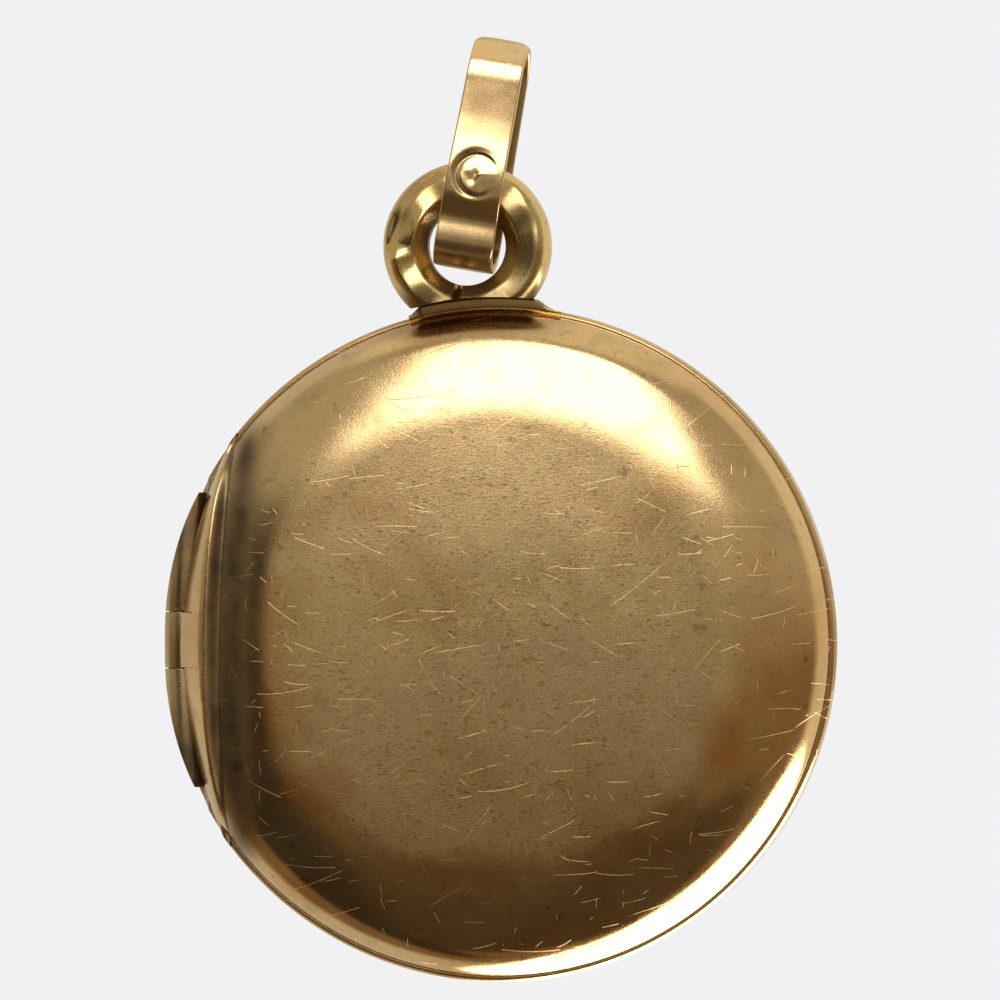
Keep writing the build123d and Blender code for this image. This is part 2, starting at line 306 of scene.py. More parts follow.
def shell(side):
    """One leaf of the case: the pressed dome on its flange, hollow, with worn surfaces."""
    line = ROOT_LINE if side == FRONT else REAR_ROOT_LINE
    cut_height = 99.0 if side == FRONT else REAR_BEARER_HEIGHT + PIECE_GAP
    angles = polar_angles(line)
    dome = dome_points(0.0, (70, 46, 34))
    flange = rounded([
        (DOME_RADIUS, FLANGE_HEIGHT),
        (CASE_RADIUS - FLANGE_CHAMFER, FLANGE_HEIGHT),
        (CASE_RADIUS, FLANGE_HEIGHT - FLANGE_CHAMFER),
        (CASE_RADIUS, HALF_SEAM),
        (INNER[-1, 0], HALF_SEAM),
        tuple(INNER[-1]),
    ], 0.045, closed=False)[1:-1]
    inside = dome_points(-SHELL_WALL, (24, 16, 12))[::-1]
    profile = np.concatenate([dome, flange, inside])
    is_dome = np.arange(len(profile)) < len(dome)
    limit = (arc_reach(line, angles) - PIECE_GAP)[:, None]
    r = np.broadcast_to(profile[:, 0], (len(angles), len(profile))).copy()
    h = np.broadcast_to(profile[:, 1], r.shape).copy()
    if side == FRONT:
        start = 9.3
        squeeze = np.minimum((limit - start) / (DOME_RADIUS - start), 1.0)
        moved = np.where(r > start, start + (r - start) * squeeze, r)
        r = np.where(is_dome, moved, r)
        h = np.where(is_dome & (limit < DOME_RADIUS), outer_height(r), h)
    floor_height = np.where(limit < INNER[-1, 0], np.minimum(inner_height(limit), cut_height), 0.0)
    inner_cut = np.interp(-cut_height, -INNER[:, 1], INNER[:, 0]) if side == REAR else 0.0
    beyond = (r > limit) & (h < cut_height) & ~(is_dome & (side == FRONT))
    r = np.where(beyond, np.maximum(limit, inner_cut), r)
    h = np.where(beyond, np.maximum(h, floor_height), h)
    x = r * np.cos(angles)[:, None]
    z = r * np.sin(angles)[:, None]

    outside = is_dome & (r < DOME_RADIUS)
    fade = smooth_step((DOME_RADIUS - 0.1 - r) / 0.6) * smooth_step(r / 0.2)
    back = wear(x, z, 1.0 if side == FRONT else -1.0) * fade
    # Painted shade: a faint dark line in the crease where the dome meets the flange
    painted_shade = np.exp(-((r - DOME_RADIUS - 0.02) / 0.07) ** 2) * 0.12
    if side == FRONT:
        apex, middle, radius = line
        from_root = radius - np.hypot(x - apex - radius, z - middle)
        valley = np.exp(-((from_root - 0.3) / VALLEY_WIDTH) ** 2) * smooth_step(1.15 - np.abs(z) / 7.6)
        back = back + VALLEY_DEPTH * valley * smooth_step((DOME_RADIUS - r) / 0.9)
        # Painted shade: a dark band along the valley beside the hinge ridge, a thin dark line at its root,
        # and a darker patch under the ring's foot
        painted_shade = np.maximum(painted_shade, np.exp(-((from_root - 0.55) / 0.66) ** 2) * 0.96 * (np.abs(z) < 9)
                           * smooth_step((8.8 - np.abs(z)) / 1.6))
        painted_shade = np.maximum(painted_shade, np.exp(-(np.maximum(from_root, 0) / 0.10) ** 2) * (np.abs(z) < 7.6))
        foot = np.hypot((x - RING[0]) / 3.4, (z - 12.3) / 1.2)
        painted_shade = np.maximum(painted_shade, 0.55 * smooth_step(1.5 - foot))
        in_nick = (z > NICK_LOW) & (z < NICK_HIGH) & (x > 0) & (r > DOME_RADIUS)
        reach = NICK_RADIUS ** 2 - np.minimum(h, NICK_RADIUS) ** 2
        nick_r = CASE_RADIUS + NICK_RADIUS - NICK_DEPTH - np.sqrt(np.maximum(reach, 0.0))
        r_nick = np.where(in_nick & (h < NICK_RADIUS), np.minimum(r, nick_r), r)
        x, z = r_nick * np.cos(angles)[:, None], r_nick * np.sin(angles)[:, None]
    h = h - np.where(outside, back, 0.0)
    points = np.stack([x, side * h, z], -1)
    name = ("Front" if side == FRONT else "Rear") + "_shell"
    return new_mesh(name, points, grid_faces(len(angles), len(profile), True, False), 40.0, painted_shade)


# ---- Hinge ridge and rear bearer, lofted along Z
def tip_heights(line):
    """The two z values where one of the root lines meets the case's outline."""
    tips = []
    for far in (-9.0, 9.0):
        near = 0.0
        for _ in range(50):
            middle = (near + far) / 2
            if arc_line(line, middle) > rim_x(middle):
                near = middle
            else:
                far = middle
        tips.append((near + far) / 2)
    return tips


def front_ridge():
    """The raised ridge that carries the middle knuckle: root, crest, filed bevel and channel."""
    low, high = tip_heights(ROOT_LINE)
    random = np.random.default_rng(SEED + 1)
    knuckle_low, knuckle_high = box_mm("middle_knuckle")
    step_low, step_high = knuckle_low[2] - CENTRE[2], knuckle_high[2] - CENTRE[2]
    t = np.linspace(-1, 1, 220)
    stations = (low + high) / 2 + (high - low) / 2 * np.sin(t * math.pi / 2) * 0.9995
    extra = [step_low - 0.02, step_low + 0.02, step_high - 0.02, step_high + 0.02]
    stations = np.array(sorted(list(stations) + extra))
    phases = random.uniform(0, 2 * math.pi, 6)

    def wobble(z, scale):
        """Small unevenness of a hand-filed line."""
        return scale * sum(np.sin(z * (1.1 + 0.9 * k) + phases[k]) / (1 + k) for k in range(6))

    rows, shade_paint = [], []
    across = 1 - np.cos(np.linspace(0, math.pi, 46))
    across = across / across[-1]
    for z in stations:
        root = arc_line(ROOT_LINE, z)
        crest = arc_line(CREST_LINE, z) + wobble(z, 0.012)
        edge = arc_line(EDGE_LINE, z) + wobble(z + 3.0, 0.006)
        if step_low < z < step_high:
            edge -= EDGE_STEP
        rim = rim_x(z)
        left = min(max(edge, rim + 0.002), root - 0.001)
        near_tip = min(abs(z - low), abs(z - high))
        edge_rise = EDGE_HEIGHT_MIDDLE - EDGE_HEIGHT_TIP
        edge_height = EDGE_HEIGHT_TIP + edge_rise * smooth_step(near_tip / 4.2)
        x = root + (left - root) * across
        r = np.hypot(x, z)
        dome = outer_height(r)
        rise_here = RIDGE_RISE * smooth_step((near_tip - 0.35) / 0.6)
        top = dome + rise_here
        crest_r = math.hypot(crest, z)
        crest_height = outer_height(crest_r) + rise_here
        width = max(crest - edge, 0.12)
        bevel = edge_height + (x - edge) / width * (crest_height - edge_height)
        bevel += 0.05 * np.sin(np.clip((x - edge) / width, 0, 1) * math.pi)
        height = (top + bevel) / 2 - np.sqrt((top - bevel) ** 2 + CREST_BLEND ** 2) / 2
        height += CREST_BLEND * 0.2
        rise = smooth_step((root - x) / 0.55)
        valley = VALLEY_DEPTH * smooth_step((DOME_RADIUS - r) / 0.9)
        at_root = dome - valley
        height = at_root + (height - at_root) * rise
        height = np.maximum(height, HALF_SEAM + 0.02)
        start_angle = math.acos(np.clip((left - HINGE[0]) / TURNING_RADIUS, -1, 1))
        arc = np.linspace(start_angle, 0, 22)
        arc_x = np.maximum(HINGE[0] + TURNING_RADIUS * np.cos(arc), left)
        arc_h = np.maximum(TURNING_RADIUS * np.sin(arc), HALF_SEAM)
        arc_h = np.minimum(arc_h, max(height[-1] - 0.02, HALF_SEAM))
        arc_x = np.minimum(arc_x, root)
        inner = [(root, HALF_SEAM), (root, (at_root[0] + HALF_SEAM) / 2)]
        section = np.concatenate([np.stack([x, height], 1), np.stack([arc_x, arc_h], 1), inner])
        rows.append(np.stack([section[:, 0], -section[:, 1], np.full(len(section), z)], 1))
        # Painted shade: the inner flank darkens from the crest down to the root, and the underside over the
        # knuckle channel is dark
        shade_mask = np.zeros(len(section))
        flank = smooth_step((x - crest) / max(root - crest, 0.1) * 1.6)
        shade_mask[:len(x)] = 0.95 * flank * (near_tip > 0.5)
        shade_mask[len(x):] = 0.9
        shade_paint.append(shade_mask)
    points = np.array(rows)
    faces = grid_faces(points.shape[0], points.shape[1], False, True)
    return new_mesh("Front_hinge_ridge", points, faces, 38.0, np.array(shade_paint))


def rear_bearer():
    """The seat of the two outer knuckles, flush with the outline of the rear leaf."""
    low, high = tip_heights(REAR_ROOT_LINE)
    t = np.linspace(-1, 1, 200)
    stations = (low + high) / 2 + (high - low) / 2 * np.sin(t * math.pi / 2) * 0.9995
    rows, shade_paint = [], []
    for z in stations:
        root = arc_line(REAR_ROOT_LINE, z)
        rim = min(rim_x(z), root - 0.001)
        flange = KNUCKLE_RADIUS + 0.02
        tall = min(REAR_BEARER_HEIGHT, max(float(outer_height(math.hypot(root, z))), flange + 0.06))
        outline = rounded([(root, tall), (rim, tall), (rim, max(tall - 0.3, flange + 0.02))],
                          min(0.14, (root - rim) * 0.45), 7, False)
        x = np.linspace(rim, root, 50)
        inside = np.maximum(TURNING_RADIUS ** 2 - (x - HINGE[0]) ** 2, 0.0)
        bottom = np.maximum(np.sqrt(inside), np.where(x < HINGE[0], flange, HALF_SEAM))
        section = np.concatenate([outline, np.stack([x, bottom], 1)])
        rows.append(np.stack([section[:, 0], section[:, 1], np.full(len(section), z)], 1))
        # Painted shade on the underside over the knuckles, deeper on the outer side
        shade_paint.append(np.concatenate([np.zeros(len(outline)), np.where(x < HINGE[0] + 0.9, 0.5, 0.15)]))
    points = np.array(rows)
    faces = grid_faces(points.shape[0], points.shape[1], False, True)
    return new_mesh("Rear_hinge_bearer", points, faces, 38.0, np.array(shade_paint))


def lathe_z(name, profile, sides=128):
    """Closed ring turned about the hinge's axis from (radius, z) points."""
    angles = np.linspace(0, 2 * math.pi, sides, endpoint=False)
    radius, z = profile[:, 0], profile[:, 1]
    points = np.stack([HINGE[0] + np.outer(np.cos(angles), radius),
                       np.outer(np.sin(angles), radius),
                       np.broadcast_to(z, (sides, len(z)))], -1)
    return new_mesh(name, points, grid_faces(sides, len(z), True, True))


def trimmed_to_rim(obj, inset):
    """Cuts a barrel piece flush with the case's outline, as a file does."""
    sides = 720
    angles = np.linspace(0, 2 * math.pi, sides, endpoint=False)
    radius = CASE_RADIUS - inset
    ring = np.stack([radius * np.cos(angles), np.zeros(sides), radius * np.sin(angles)], 1)
    depth = np.array([0.0, 3.0, 0.0])
    points = np.concatenate([ring - depth, ring + depth])
    bm = bmesh.new()
    verts = [bm.verts.new(Vector((p + CENTRE) * MM)) for p in points]
    bm.faces.new(verts[:sides])
    bm.faces.new(verts[sides:][::-1])
    for i in range(sides):
        j = (i + 1) % sides
        bm.faces.new([verts[i], verts[j], verts[sides + j], verts[sides + i]])
    bmesh.ops.recalc_face_normals(bm, faces=bm.faces)
    mesh = bpy.data.meshes.new("cutter")
    bm.to_mesh(mesh)
    bm.free()
    cutter = bpy.data.objects.new("cutter", mesh)
    bpy.context.scene.collection.objects.link(cutter)
    cut = obj.modifiers.new("cut", "BOOLEAN")
    cut.operation = "INTERSECT"
    cut.solver = "EXACT"
    cut.object = cutter
    edge = obj.modifiers.new("edge", "BEVEL")
    edge.width = 0.018 * MM
    edge.segments = 2
    edge.limit_method = "ANGLE"
    edge.angle_limit = math.radians(40)
    graph = bpy.context.evaluated_depsgraph_get()
    made = bpy.data.meshes.new_from_object(obj.evaluated_get(graph))
    obj.modifiers.clear()
    obj.data = made
    bpy.data.objects.remove(cutter)
    shade(made, 38.0)
    return obj


def knuckle(node, name):
    """One length of hinge tube."""
    low, high = box_mm(node)
    bottom, top = low[2] - CENTRE[2], high[2] - CENTRE[2]
    profile = rounded([(KNUCKLE_BORE, bottom), (KNUCKLE_RADIUS, bottom),
                       (KNUCKLE_RADIUS, top), (KNUCKLE_BORE, top)], 0.035)
    piece = lathe_z(name, profile)
    return trimmed_to_rim(piece, 0.0)


def hinge_pin():
    """The wire that the knuckles turn on, its ends filed with them."""
    low, high = box_mm("hinge_pin")
    bottom, top = low[2] - CENTRE[2], high[2] - CENTRE[2]
    end = PIN_RADIUS - PIN_CHAMFER
    profile = np.array([(0.0, bottom), (end, bottom), (PIN_RADIUS, bottom + PIN_CHAMFER),
                        (PIN_RADIUS, top - PIN_CHAMFER), (end, top), (0.0, top)])
    return trimmed_to_rim(lathe_z("Hinge_pin_wire", profile, 64), 0.006)


# ---- Suspension ring, its foot and the bail
RING_LOW, RING_HIGH = box_mm("suspension_ring")
RING_RADIUS = (RING_HIGH[0] - RING_LOW[0]) / 2
RING_Y = (RING_LOW[1] + RING_HIGH[1]) / 2 - CENTRE[1]
RING_HALF = (RING_HIGH[1] - RING_LOW[1]) / 2
HOLE_RADIUS = 1.45
FOOT_RADIUS = CASE_RADIUS + 0.35
RING_LEAN = math.atan2(-RING[0], RING[2])
FOOT_HALF_ANGLE = math.radians(11.1)
NOTCH_ANGLE = math.radians(259.0)


def ring_profile():
    """Closed (radius, depth) section of the ring, its faces softened as by a polishing stick."""
    half, land = RING_HALF, 0.42
    flat = rounded([(HOLE_RADIUS, -land), (1.93, -half), (2.5, -half)], 0.13, 6, False)
    back = rounded([(2.5, half), (1.93, half), (HOLE_RADIUS, land)], 0.13, 6, False)
    turn = np.linspace(-math.pi / 2, math.pi / 2, 26)[1:-1]
    bulge = np.stack([2.5 + (RING_RADIUS - 2.5) * np.cos(turn), half * np.sin(turn)], 1)
    hole = np.stack([np.full(7, HOLE_RADIUS), np.linspace(land, -land, 9)[1:-1]], 1)
    return np.concatenate([flat, bulge, back, hole])


def suspension_ring():
    """The thick ring: filed facets on its face, a worn notch low in its hole, its foot end cut."""
    profile = ring_profile()
    angles = np.linspace(0, 2 * math.pi, 420, endpoint=False)
    a = angles[:, None]
    r = np.broadcast_to(profile[:, 0], (len(angles), len(profile))).copy()
    y = np.broadcast_to(profile[:, 1], r.shape).copy()
    random = np.random.default_rng(SEED + 2)
    waves = sum(random.uniform(0.3, 1.0) / k * np.cos(k * a + random.uniform(0, 6.28)) for k in range(2, 9))
    on_front = smooth_step((-y / RING_HALF - 0.5) / 0.5)
    face = smooth_step((r - HOLE_RADIUS) / 0.4) * smooth_step((RING_RADIUS - r) / 0.5)
    y = y + 0.045 * (waves + 1.6) * face * on_front * 0.6
    facet = smooth_step((np.cos(a - math.radians(128)) - 0.45) / 0.2)
    y = y + on_front * facet * 0.26 * np.clip((r - 1.9) / 1.0, 0, 1)
    for _ in range(6):
        way, length = random.uniform(0, math.pi), random.uniform(0.9, 2.4)
        ripple = np.sin((r * np.cos(a) * math.cos(way) + r * np.sin(a) * math.sin(way)) * 6.28 / length
                        + random.uniform(0, 6.28))
        y = y + on_front * 0.016 * length * ripple * face
    facet_right = np.maximum(np.cos(a - math.radians(-15)), 0) ** 3
    facet_right = facet_right * smooth_step((2.9 - r) / 1.1) * smooth_step((r - HOLE_RADIUS) / 0.3)
    y = y + on_front * facet_right * 0.20
    away = np.abs(a - NOTCH_ANGLE)
    notch = np.clip(1 - away / 0.10, 0, 1)
    worn_in = smooth_step((2.25 - r) / 0.8) * smooth_step((-y - 0.1) / 0.5)
    r = r + 0.42 * notch * worn_in
    x = RING[0] + r * np.cos(a)
    z = RING[2] + r * np.sin(a)
    from_case = np.hypot(x, z)
    push = np.maximum(FOOT_RADIUS - 0.02, from_case) / from_case
    x, z = x * push, z * push
    # Painted shade: darker low down where the ring meets its foot, round the edge of the hole, in the notch,
    # and over a patch on the right of the face
    low_down = smooth_step((FOOT_RADIUS + 1.15 - from_case) / 1.1)
    right_face_shade = smooth_step((np.cos(a - math.radians(5)) - 0.55) / 0.3) * smooth_step((r - 1.7) / 0.3)
    right_face_shade = right_face_shade * smooth_step((2.95 - r) / 0.3)
    painted_shade = np.maximum(low_down * 0.7, smooth_step((HOLE_RADIUS + 0.22 - r) / 0.25) * 0.75)
    painted_shade = np.maximum(np.maximum(painted_shade, notch * worn_in), 0.42 * right_face_shade)
    points = np.stack([x, RING_Y + y, z], -1)
    faces = grid_faces(len(angles), len(profile), True, True)
    return new_mesh("Suspension_ring_body", points, faces, 36.0, painted_shade)


def ring_foot():
    """Curved plate under the ring, with solder drawn out along the rim on the right."""
    low, high = box_mm("ring_foot")
    front, back = low[1] - CENTRE[1] + 0.01, high[1] - CENTRE[1] - 0.01
    right_end = math.radians(15.0)
    turn = np.concatenate([np.linspace(-1, 1, 60) * FOOT_HALF_ANGLE,
                           np.linspace(FOOT_HALF_ANGLE, right_end, 16)[1:]])
    rows, shade_paint = [], []
    for t in turn:
        angle = math.pi / 2 + RING_LEAN - t
        run_out = smooth_step((t - FOOT_HALF_ANGLE * 0.93) / (right_end - FOOT_HALF_ANGLE * 0.93))
        left_end = smooth_step((t + FOOT_HALF_ANGLE) / 0.045)
        thickness = (FOOT_RADIUS - CASE_RADIUS - 0.03) * (1 - run_out) ** 2 * (0.25 + 0.75 * left_end)
        top = CASE_RADIUS + 0.02 + thickness
        face = min(front + 0.10 + 0.25 * run_out + 0.30 * (1 - left_end), -FLANGE_HEIGHT - 0.12)
        base = DOME_RADIUS + 0.02
        slope_out = (face - FLANGE_HEIGHT - 0.02) / 2
        section = rounded([(CASE_RADIUS + 0.012, back), (top, back), (top, face),
                           (CASE_RADIUS - 0.06, slope_out - 0.05), (base - 0.03, -FLANGE_HEIGHT - 0.02),
                           (base - 0.03, -FLANGE_HEIGHT + 0.03),
                           (CASE_RADIUS + 0.012, -FLANGE_HEIGHT + 0.03)], 0.08, 5)
        rows.append(np.stack([section[:, 0] * math.cos(angle), section[:, 1],
                              section[:, 0] * math.sin(angle)], 1))
        # Painted shade over the whole plate, deeper on its top under the ring and in the crease against the
        # dome
        shade_paint.append(0.20 + 0.45 * (section[:, 0] > top - 0.06) + 0.2 * (section[:, 0] < base + 0.02))
    caps = []
    for row in (rows[0], rows[-1]):
        caps.append(np.broadcast_to(row.mean(0), row.shape))
    points = np.array([caps[0]] + rows + [caps[1]])
    shade_paint = np.array([shade_paint[0]] + shade_paint + [shade_paint[-1]])
    faces = grid_faces(points.shape[0], points.shape[1], False, True)
    return new_mesh("Ring_foot_plate", points, faces, 40.0, shade_paint)


BAIL_LEAN = math.radians(10.0)
BAIL_STRIP = 0.38
BAIL_INNER = 1.17
BAIL_DROP = 0.88
BAIL_LENGTH = 8.65
BAIL_STRAIGHT = 6.2
BAIL_HALF_BOTTOM = 1.1
BAIL_HALF_TOP = 1.0
BAIL_CORNER = 0.3
# How far the front of the strip bows out at each height: hammered in below the mark, fullest beside it
BULGE_KNOTS = ((-0.6, 0.0), (-0.15, 0.18), (0.95, 0.03), (1.85, 0.30), (2.5, 0.32), (2.9, 0.285),
               (4.1, 0.073), (4.8, -0.022), (6.3, -0.166), (6.9, -0.166))
BULGE_HEIGHTS = np.linspace(-0.6, 6.9, 240)
BULGE_SOFT = np.hanning(27)[1:-1] / np.hanning(27).sum()
BULGE_REACH = np.pad(np.interp(BULGE_HEIGHTS, *zip(*BULGE_KNOTS)), 12, mode="edge")
BULGE_REACH = np.convolve(BULGE_REACH, BULGE_SOFT, "valid")
STAMP_PLACE = (0.06, 2.69)
STAMP_RADIUS = 0.93
# Bumps and pits of the mark's worn floor: place from its middle, size and depth
STAMP_BUMPS = ((-0.1, 0.3, 0.20, -0.016), (0.3, -0.12, 0.24, -0.014), (-0.15, -0.25, 0.18, 0.018),
               (0.15, 0.5, 0.16, 0.014), (0.42, 0.32, 0.13, 0.012), (-0.38, 0.1, 0.15, -0.016),
               (0.1, -0.55, 0.16, 0.014), (0.5, -0.4, 0.12, -0.010))


def bail():
    """Strip bent into a long loop, tapered, with a worn blank punch mark on its front."""
    middle_radius = BAIL_INNER + BAIL_STRIP / 2
    outer = BAIL_INNER + BAIL_STRIP
    low = outer - BAIL_DROP
    top = BAIL_LENGTH - BAIL_DROP
    peak = top - BAIL_STRIP / 2
    turn = np.linspace(0, math.pi, 160, endpoint=False)
    dip = np.sin(np.linspace(0, 1, 90, endpoint=False) * math.pi)
    side = np.cos(np.linspace(0, 1, 90, endpoint=False) * math.pi)
    power = 2 / 2.7
    pieces = [
        [np.full(260, -middle_radius), np.linspace(BAIL_STRAIGHT, low, 260, endpoint=False)],
        [-middle_radius * np.sign(side) * np.abs(side) ** power, low - middle_radius * dip ** power],
        [np.full(60, middle_radius), np.linspace(low, BAIL_STRAIGHT, 60, endpoint=False)],
        [middle_radius * np.cos(turn), BAIL_STRAIGHT + (peak - BAIL_STRAIGHT) * np.sin(turn)],
    ]
    loop = np.concatenate([np.array(piece).T for piece in pieces])
    for _ in range(6):
        loop = (np.roll(loop, -1, axis=0) + 2 * loop + np.roll(loop, 1, axis=0)) / 4
    along = np.roll(loop, -1, axis=0) - np.roll(loop, 1, axis=0)
    along /= np.linalg.norm(along, axis=1)[:, None]
    path = np.column_stack([loop, along[:, 1], -along[:, 0]])
    half = BAIL_STRIP / 2
    edge = rounded([(-1.0, -half), (1.0, -half), (1.0, half), (-1.0, half)], 0.055, 5)
    wide = np.linspace(-0.93, 0.93, 84)
    outer_side = np.stack([wide[::-1], np.full(84, half)], 1)
    inner_side = np.stack([wide[::6], np.full(len(wide[::6]), -half)], 1)
    corners = [edge[5 * i:5 * i + 5] for i in range(4)]
    section = np.concatenate([corners[0], inner_side, corners[1], corners[2], outer_side, corners[3]])
    across, out = section[:, 0], section[:, 1]
    y = path[:, 0:1] + path[:, 2:3] * out
    z = path[:, 1:2] + path[:, 3:4] * out
    share = (z + BAIL_DROP) / BAIL_LENGTH
    half_width = BAIL_HALF_BOTTOM + (BAIL_HALF_TOP - BAIL_HALF_BOTTOM) * share
    in_corner = np.clip(z - (top - BAIL_CORNER), 0, BAIL_CORNER)
    half_width = half_width - (BAIL_CORNER - np.sqrt(BAIL_CORNER ** 2 - in_corner ** 2))
    x = across * half_width
    bulge = np.interp(z, BULGE_HEIGHTS, BULGE_REACH) * smooth_step((-y - 0.5) / 0.8)
    crown = 0.03 * np.abs(across) ** 4 * (out > 0)
    y, z = y - path[:, 2:3] * crown, z - path[:, 3:4] * crown
    is_front = (y < -BAIL_INNER - 0.3) & (out > 0.1)
    u, v = x - STAMP_PLACE[0], z - STAMP_PLACE[1]
    d = np.hypot(u, v) / STAMP_RADIUS
    turn = np.arctan2(v, u)
    left_share = 0.5 - 0.5 * np.cos(turn - math.radians(8))
    groove = np.exp(-((d - 0.88) / 0.13) ** 2) * 0.12 * left_share ** 1.6
    rough = 0.0
    for cu, cv, size, depth in STAMP_BUMPS:
        rough = rough + depth * np.exp(-((u - cu) ** 2 + (v - cv) ** 2) / size ** 2)
    floor_depth = (0.06 + 0.10 * v + 1.7 * rough) * smooth_step((0.9 - d) / 0.16) * left_share ** 0.6
    dent = np.maximum(groove + floor_depth, -0.005) * is_front
    y = y + dent - bulge
    c, s = math.cos(BAIL_LEAN), math.sin(BAIL_LEAN)
    points = np.stack([RING[0] + c * x + s * z, RING_Y + y, RING[2] - s * x + c * z], -1)
    # Painted shade: darker towards the bottom of the loop inside the ring, in the punch mark's groove, and
    # over the inner side of the strip
    low_down = smooth_step((0.7 - z) / 1.4)
    painted_shade = np.maximum(0.30 * low_down, np.exp(-((d - 0.88) / 0.10) ** 2) * 0.55 * left_share * is_front)
    painted_shade = np.maximum(painted_shade, 0.5 * (out < -0.1))
    faces = grid_faces(points.shape[0], points.shape[1], True, True)
    return new_mesh("Bail_strip", points, faces, 36.0, painted_shade)


# ---- Inside
def photo_frame(side):
    """Pressed frame with a rounded lip and a line of fine beads pressed round it."""
    node = ("front" if side == FRONT else "rear") + "_photo_frame"
    low, high = box_mm(node)
    radius = (high[2] - low[2]) / 2
    heights = sorted([abs(low[1] - CENTRE[1]), abs(high[1] - CENTRE[1])])
    seat, top = heights
    lip, lip_height, wall = 1.0, 0.28, 0.37
    outline = rounded([(radius - lip, seat), (radius, seat), (radius, top), (radius - wall, top),
                       (radius - wall, seat + lip_height), (radius - lip, seat + lip_height)], 0.06, 5)
    count = 360
    extra = np.stack([np.linspace(radius - lip + 0.1, radius - 0.1, 24), np.full(24, seat)], 1)
    outline = np.concatenate([outline[:5], extra, outline[5:]])
    angles = np.linspace(0, 2 * math.pi, count, endpoint=False)[:, None]
    r = np.broadcast_to(outline[:, 0], (count, len(outline)))
    h = np.broadcast_to(outline[:, 1], r.shape)
    on_face = (h < seat + 0.02) & (r > radius - lip + 0.09) & (r < radius - 0.09)
    across = (r - (radius - lip)) / lip
    rolled = 0.05 * np.cos((across - 0.32) * 2 * math.pi) ** 2 * (across < 0.6)
    beads = 0.05 * np.exp(-((across - 0.76) / 0.1) ** 2) * np.sin(angles * 90) ** 2
    h = h + np.where(on_face, 0.06 - rolled - beads, 0.0)
    points = np.stack([r * np.cos(angles), side * h, r * np.sin(angles)], -1)
    name = ("Front" if side == FRONT else "Rear") + "_frame"
    return new_mesh(name, points, grid_faces(count, len(outline), True, True), 36.0)


# ---- Materials
class Nodes:
    """Short names for the shader nodes that the materials and the world use."""

    def __init__(self, tree):
        self.tree = tree

    def link(self, source, target):
        self.tree.links.new(source, target)

    def mapped(self, vector, scale=(1, 1, 1), turn=(0, 0, 0), move=(0, 0, 0)):
        node = self.tree.nodes.new("ShaderNodeMapping")
        node.inputs["Scale"].default_value = scale
        node.inputs["Rotation"].default_value = [math.radians(a) for a in turn]
        node.inputs["Location"].default_value = move
        self.link(vector, node.inputs["Vector"])
        return node.outputs["Vector"]

    def noise(self, vector, scale, detail=3.0, distortion=0.0):
        node = self.tree.nodes.new("ShaderNodeTexNoise")
        node.inputs["Scale"].default_value = scale
        node.inputs["Detail"].default_value = detail
        node.inputs["Distortion"].default_value = distortion
        self.link(vector, node.inputs["Vector"])
        return node.outputs["Fac"]

    def math(self, operation, a, b=0.0):
        node = self.tree.nodes.new("ShaderNodeMath")
        node.operation = operation
        for value, socket in ((a, node.inputs[0]), (b, node.inputs[1])):
            if isinstance(value, (int, float)):
                socket.default_value = value
            else:
                self.link(value, socket)
        return node.outputs[0]

    def ramp(self, value, low, high, to_low=0.0, to_high=1.0):
        node = self.tree.nodes.new("ShaderNodeMapRange")
        node.interpolation_type = "SMOOTHSTEP"
        node.inputs["From Min"].default_value = low
        node.inputs["From Max"].default_value = high
        node.inputs["To Min"].default_value = to_low
        node.inputs["To Max"].default_value = to_high
        self.link(value, node.inputs["Value"])
        return node.outputs["Result"]

    def mix(self, share, a, b, blend="MIX"):
        node = self.tree.nodes.new("ShaderNodeMix")
        node.data_type = "RGBA"
        node.blend_type = blend
        for value, socket in ((share, node.inputs[0]), (a, node.inputs[6]), (b, node.inputs[7])):
            if isinstance(value, (int, float)):
                socket.default_value = value
            elif isinstance(value, tuple):
                socket.default_value = (*value, 1.0)
            else:
                self.link(value, socket)
        return node.outputs[2]

    def distance(self, vector, point, reach=(1.0, 1.0)):
        """How far out from a point in the case's plane, in millimetres or in shares of a reach."""
        node = self.tree.nodes.new("ShaderNodeVectorMath")
        node.operation = "LENGTH"
        scale = (1 / reach[0], 0, 1 / reach[1])
        self.link(self.mapped(vector, scale=scale, move=(-point[0] * scale[0], 0, -point[2] * scale[2])),
                  node.inputs[0])
        return node.outputs["Value"]

    def attribute(self, name):
        node = self.tree.nodes.new("ShaderNodeAttribute")
        node.attribute_name = name
        return node.outputs["Fac"]

    def bump(self, height, distance, strength=1.0):
        node = self.tree.nodes.new("ShaderNodeBump")
        node.inputs["Distance"].default_value = distance * MM
        node.inputs["Strength"].default_value = strength
        self.link(height, node.inputs["Height"])
        self.link(node.outputs["Normal"], self.shader.inputs["Normal"])


def material_nodes(name):
    """The nodes of a new material, with its shader and the place on the object in millimetres."""
    material = bpy.data.materials.new(name)
    material.use_nodes = True
    n = Nodes(material.node_tree)
    n.material = material
    n.shader = n.tree.nodes["Principled BSDF"]
    where = n.tree.nodes.new("ShaderNodeTexCoord")
    n.place = n.mapped(where.outputs["Object"], scale=(1000, 1000, 1000))
    return n


